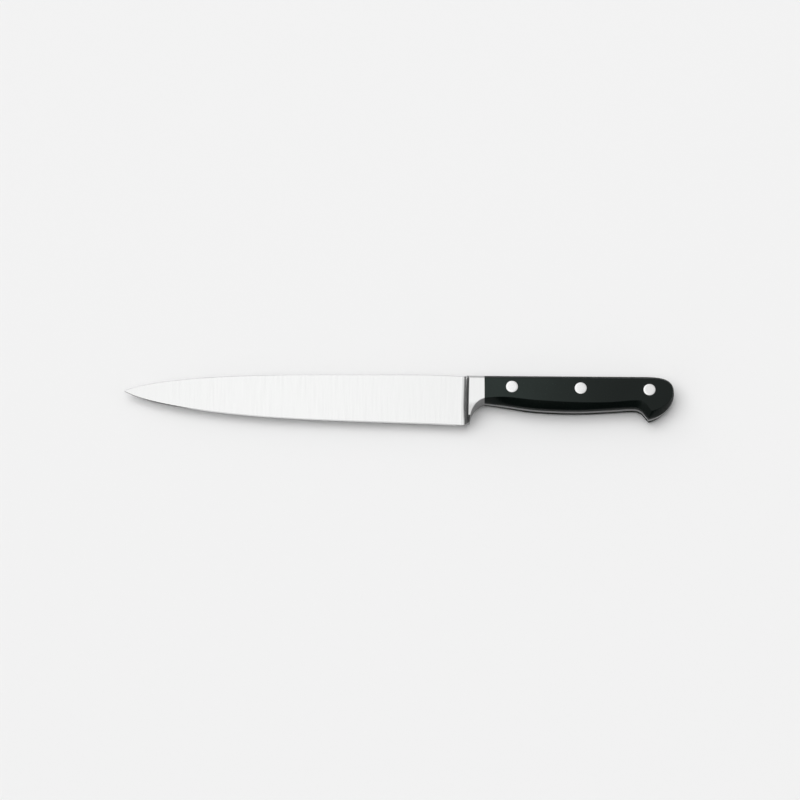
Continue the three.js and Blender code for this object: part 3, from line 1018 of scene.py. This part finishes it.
def spread(tree, value, low, high, start=NOISE_SPAN[0], end=NOISE_SPAN[1]):
    """Map a value to the range from low to high."""
    node = tree.nodes.new("ShaderNodeMapRange")
    node.inputs["From Min"].default_value = start
    node.inputs["From Max"].default_value = end
    node.inputs["To Min"].default_value = low
    node.inputs["To Max"].default_value = high
    tree.links.new(value, node.inputs["Value"])
    return node.outputs["Result"]


def eased(tree, value, start, end):
    """From 0 to 1 between two values, with soft ends."""
    node = tree.nodes.new("ShaderNodeMapRange")
    node.interpolation_type = "SMOOTHSTEP"
    node.inputs["From Min"].default_value = start
    node.inputs["From Max"].default_value = end
    tree.links.new(value, node.inputs["Value"])
    return node.outputs["Result"]


def joined(tree, operation, first, second):
    """Two numbers joined by one operation of the Math node."""
    node = tree.nodes.new("ShaderNodeMath")
    node.operation = operation
    tree.links.new(first, node.inputs[0])
    tree.links.new(second, node.inputs[1])
    return node.outputs["Value"]


def inside(tree, *limits):
    """1 inside all of these limits and 0 outside.

    Each limit is a value, with where it starts to count and where it counts in full.
    """
    whole = None
    for value, (start, end) in limits:
        share = eased(tree, value, start, end)
        whole = joined(tree, "MULTIPLY", whole, share) if whole else share
    return whole


def toned(tree, value, colour, tones):
    """A colour that goes from its first tone to its second as a value goes from 0 to 1."""
    dark, light = [[c * tone for c in colour] for tone in tones]
    node = tree.nodes.new("ShaderNodeMix")
    node.data_type = "RGBA"
    node.inputs["A"].default_value = (*dark, 1)
    node.inputs["B"].default_value = (*light, 1)
    tree.links.new(value, node.inputs["Factor"])
    return node.outputs["Result"]


def blended(tree, value, first, second, kind):
    """Blend two linked colours or two linked numbers by a value from 0 to 1."""
    node = tree.nodes.new("ShaderNodeMix")
    node.data_type = kind
    sockets = [socket for socket in node.inputs if socket.enabled]
    tree.links.new(value, sockets[0])
    tree.links.new(first, sockets[1])
    tree.links.new(second, sockets[2])
    return next(socket for socket in node.outputs if socket.enabled)


def raised(tree, value, distance, strength, shader):
    """Give a surface a fine relief."""
    bump = tree.nodes.new("ShaderNodeBump")
    bump.inputs["Strength"].default_value = strength
    bump.inputs["Distance"].default_value = distance
    tree.links.new(value, bump.inputs["Height"])
    tree.links.new(bump.outputs["Normal"], shader.inputs["Normal"])


def steepness(tree, steep, flat):
    """From 0 on flats to 1 on walls, between two values of the normal's height."""
    nodes = tree.nodes
    geometry = nodes.new("ShaderNodeNewGeometry")
    axes = nodes.new("ShaderNodeSeparateXYZ")
    height = nodes.new("ShaderNodeMath")
    height.operation = "ABSOLUTE"
    tree.links.new(geometry.outputs["Normal"], axes.inputs["Vector"])
    tree.links.new(axes.outputs["Z"], height.inputs[0])
    return eased(tree, height.outputs["Value"], flat, steep)


def lengthwise(tree, start, end):
    """From 0 to 1 between two places along the knife."""
    place = tree.nodes.new("ShaderNodeTexCoord")
    axes = tree.nodes.new("ShaderNodeSeparateXYZ")
    tree.links.new(place.outputs["Object"], axes.inputs["Vector"])
    low, high = [(x + KNIFE_ORIGIN.x) * MM for x in (start, end)]
    return eased(tree, axes.outputs["X"], low, high)


# Finishes
def middle_of(span):
    return sum(span) / 2


def new_material(name, colour, metallic, roughness):
    """A material with plain values, which its nodes then vary."""
    material = bpy.data.materials.new(name)
    material.use_nodes = True
    shader = material.node_tree.nodes["Principled BSDF"]
    shader.inputs["Base Color"].default_value = (*colour, 1)
    shader.inputs["Metallic"].default_value = metallic
    shader.inputs["Roughness"].default_value = roughness
    return material, material.node_tree, shader


def satin_steel():
    """Satin steel with fine lines across the sides; the steep walls are darkened with painted
    shade.
    """
    colour = bpy.context.scene.knife_finish.steel
    rough = middle_of(STEEL_ROUGHNESS)
    material, tree, shader = new_material("satin_ground_steel", colour, 1, rough)
    lines = streaks(tree, *STEEL_LINES)
    tone = spread(tree, lines, 0, 1)
    sides = toned(tree, tone, colour, STEEL_TONES)
    # Painted shade: steep walls take a far darker tone of the steel than the sides
    walls = toned(tree, tone, colour, STEEL_WALL_SHADE_TONES)
    steep = steepness(tree, *STEEL_SHADED_WALLS)
    tree.links.new(blended(tree, steep, sides, walls, "RGBA"), shader.inputs["Base Color"])
    tree.links.new(spread(tree, lines, *STEEL_ROUGHNESS), shader.inputs["Roughness"])
    raised(tree, lines, *STEEL_RELIEF, shader)
    return material


def black_plastic():
    """Moulded black plastic; the flats are sanded with the rivets and satin, and their grey is
    partly painted sheen, greyest at the bolster and fading towards the butt.
    """
    finish = bpy.context.scene.knife_finish
    rough = middle_of(FLAT_ROUGHNESS)
    material, tree, shader = new_material("moulded_black_plastic", finish.plastic, 0, rough)
    shader.inputs["IOR"].default_value = PLASTIC_IOR
    shader.inputs["Specular Tint"].default_value = PLASTIC_TINT
    grain = streaks(tree, *PLASTIC_GRAIN)
    tone = spread(tree, streaks(tree, *PLASTIC_CLOUD), 0, 1)
    moulded = toned(tree, tone, finish.plastic, MOULDED_TONES)
    sanded_and_sheen = toned(tree, tone, finish.sanded_and_sheen, SANDED_AND_SHEEN_TONES)
    # Painted sheen: the flats are greyest at the bolster and fade to moulded black towards the butt
    fade = lengthwise(tree, BOLSTER_LENGTH, BOLSTER_LENGTH + PAINTED_SHEEN_RUN)
    flat = blended(tree, fade, sanded_and_sheen, moulded, "RGBA")
    off_flat = steepness(tree, *SANDED_AND_SHEEN_WALLS)
    tree.links.new(blended(tree, off_flat, flat, moulded, "RGBA"), shader.inputs["Base Color"])
    flats = spread(tree, grain, *FLAT_ROUGHNESS)
    walls = spread(tree, grain, *WALL_ROUGHNESS)
    steep = steepness(tree, *MOULDED_WALLS)
    tree.links.new(blended(tree, steep, flats, walls, "FLOAT"), shader.inputs["Roughness"])
    raised(tree, grain, *PLASTIC_RELIEF, shader)
    return material


def polished_rivet():
    """Polished steel with faint lines from the last polish."""
    colour = bpy.context.scene.knife_finish.rivet
    rough = middle_of(RIVET_ROUGHNESS)
    material, tree, shader = new_material("polished_rivet_steel", colour, 1, rough)
    lines = streaks(tree, *RIVET_LINES)
    tint = toned(tree, spread(tree, lines, 0, 1), colour, RIVET_TONES)
    tree.links.new(tint, shader.inputs["Base Color"])
    tree.links.new(spread(tree, lines, *RIVET_ROUGHNESS), shader.inputs["Roughness"])
    return material


# Stage
def lay_floor(colour):
    """The pale floor that the knife lies on."""
    deselect()
    bpy.ops.mesh.primitive_plane_add(size=FLOOR_SIZE, location=(0, 0, 0))
    floor = bpy.context.object
    floor.name = "floor"
    material, _, shader = new_material("pale_floor", colour, 0, FLOOR_ROUGHNESS)
    shader.inputs["Specular IOR Level"].default_value = FLOOR_SPECULAR
    floor.data.materials.append(material)


def aim(thing, direction):
    """Point a lamp or the camera along a direction."""
    thing.rotation_euler = direction.to_track_quat("-Z", "Y").to_euler()


def add_lamp(light, place, direction):
    """A lamp at a place, pointed along a direction."""
    lamp = bpy.data.objects.new(light.name, light)
    bpy.context.scene.collection.objects.link(lamp)
    lamp.location = place
    aim(lamp, direction)
    return lamp


def hang_softbox():
    """A soft panel over the knife that looks straight down."""
    light = bpy.data.lights.new("softbox", "AREA")
    light.shape = "RECTANGLE"
    light.size, light.size_y = SOFTBOX_SIZE
    light.energy = SOFTBOX_RADIANCE * math.pi * SOFTBOX_SIZE[0] * SOFTBOX_SIZE[1]
    lamp = add_lamp(light, SOFTBOX_PLACE, Vector((0, 0, -1)))
    lamp.visible_camera = False


def hang_top_lamp():
    """A large far lamp, which gives the shadows.

    Only the tent and the softbox are mirrored in the steel, so it leaves no hard glint there.
    """
    light = bpy.data.lights.new("top_lamp", "SUN")
    towards = Vector(TOP_SOURCE).normalized()
    light.energy = TOP_LEVEL * math.pi / towards.z
    light.angle = TOP_ANGLE
    lamp = add_lamp(light, towards * CAMERA_DISTANCE, -towards)
    lamp.visible_glossy = False


def pitch_tent(scene):
    """The world: a white tent overhead in a dimmer room, with two dark cards beside it."""
    world = bpy.data.worlds.new("studio_tent")
    world.use_nodes = True
    scene.world = world
    tree = world.node_tree
    nodes = tree.nodes
    place = nodes.new("ShaderNodeTexCoord")
    axes = nodes.new("ShaderNodeSeparateXYZ")
    tree.links.new(place.outputs["Generated"], axes.inputs["Vector"])
    x = axes.outputs["X"]
    y = axes.outputs["Y"]
    front = inside(tree, (y, FRONT_CARD[0]), (x, FRONT_CARD[1]), (x, FRONT_CARD[2]))
    left = inside(tree, (x, LEFT_CARD[0]), (y, LEFT_CARD[1]), (y, LEFT_CARD[2]))
    corner = joined(tree, "ADD", x, y)
    tent = inside(
        tree,
        (x, TENT_ENDS[0]),
        (x, TENT_ENDS[1]),
        (y, TENT_SIDES[0]),
        (y, TENT_SIDES[1]),
        (corner, TENT_CORNER),
    )
    room = joined(
        tree,
        "MINIMUM",
        spread(tree, front, ROOM_LEVEL, CARD_LEVEL, 0, 1),
        spread(tree, left, ROOM_LEVEL, CARD_LEVEL, 0, 1),
    )
    bright = spread(tree, x, *TENT_LEVELS, *TENT_SLANT)
    background = nodes["Background"]
    background.inputs["Color"].default_value = (1, 1, 1, 1)
    tree.links.new(blended(tree, tent, room, bright, "FLOAT"), background.inputs["Strength"])


def set_camera(scene):
    """A long lens from far off, which frames the knife as the photograph does."""
    data = bpy.data.cameras.new("camera")
    data.lens = data.sensor_width * CAMERA_DISTANCE / VIEW_WIDTH
    camera = bpy.data.objects.new("camera", data)
    scene.collection.objects.link(camera)
    back = Vector((0, -math.cos(CAMERA_ELEVATION), math.sin(CAMERA_ELEVATION)))
    camera.location = CAMERA_TARGET + back * CAMERA_DISTANCE
    aim(camera, -back)
    scene.camera = camera


class SCENE_OT_knife_stage(bpy.types.Operator):
    """Lay the pale floor and set the soft studio light and the camera"""

    bl_idname = "scene.knife_stage"
    bl_label = "Stage"
    bl_options = {"REGISTER", "UNDO"}

    def execute(self, context):
        scene = context.scene
        scene.view_settings.view_transform = "Standard"
        lay_floor(scene.knife_finish.floor)
        hang_softbox()
        hang_top_lamp()
        pitch_tent(scene)
        set_camera(scene)
        return {"FINISHED"}


class VIEW3D_PT_knife(bpy.types.Panel):
    """Sizes, finishes and steps of the knife"""

    bl_label = "Fillet Knife"
    bl_space_type = "VIEW_3D"
    bl_region_type = "UI"
    bl_category = "Knife"

    def draw(self, context):
        layout = self.layout
        for group in (context.scene.knife_sizes, context.scene.knife_finish):
            for name in group.__annotations__:
                layout.prop(group, name)
        for step in STEPS:
            layout.operator(step.bl_idname)


STEPS = (KNIFE_OT_forged_blade, KNIFE_OT_scales, KNIFE_OT_rivets, SCENE_OT_knife_stage)
CLASSES = (KnifeSizes, KnifeFinish, *STEPS, VIEW3D_PT_knife)


def register():
    for cls in CLASSES:
        bpy.utils.register_class(cls)
    bpy.types.Scene.knife_sizes = bpy.props.PointerProperty(type=KnifeSizes)
    bpy.types.Scene.knife_finish = bpy.props.PointerProperty(type=KnifeFinish)


def unregister():
    del bpy.types.Scene.knife_finish
    del bpy.types.Scene.knife_sizes
    for cls in reversed(CLASSES):
        bpy.utils.unregister_class(cls)


def main():
    register()
    bpy.ops.mesh.knife_forged_blade()
    bpy.ops.mesh.knife_scales()
    bpy.ops.mesh.knife_rivets()
    bpy.ops.scene.knife_stage()


if __name__ == "__main__":
    main()
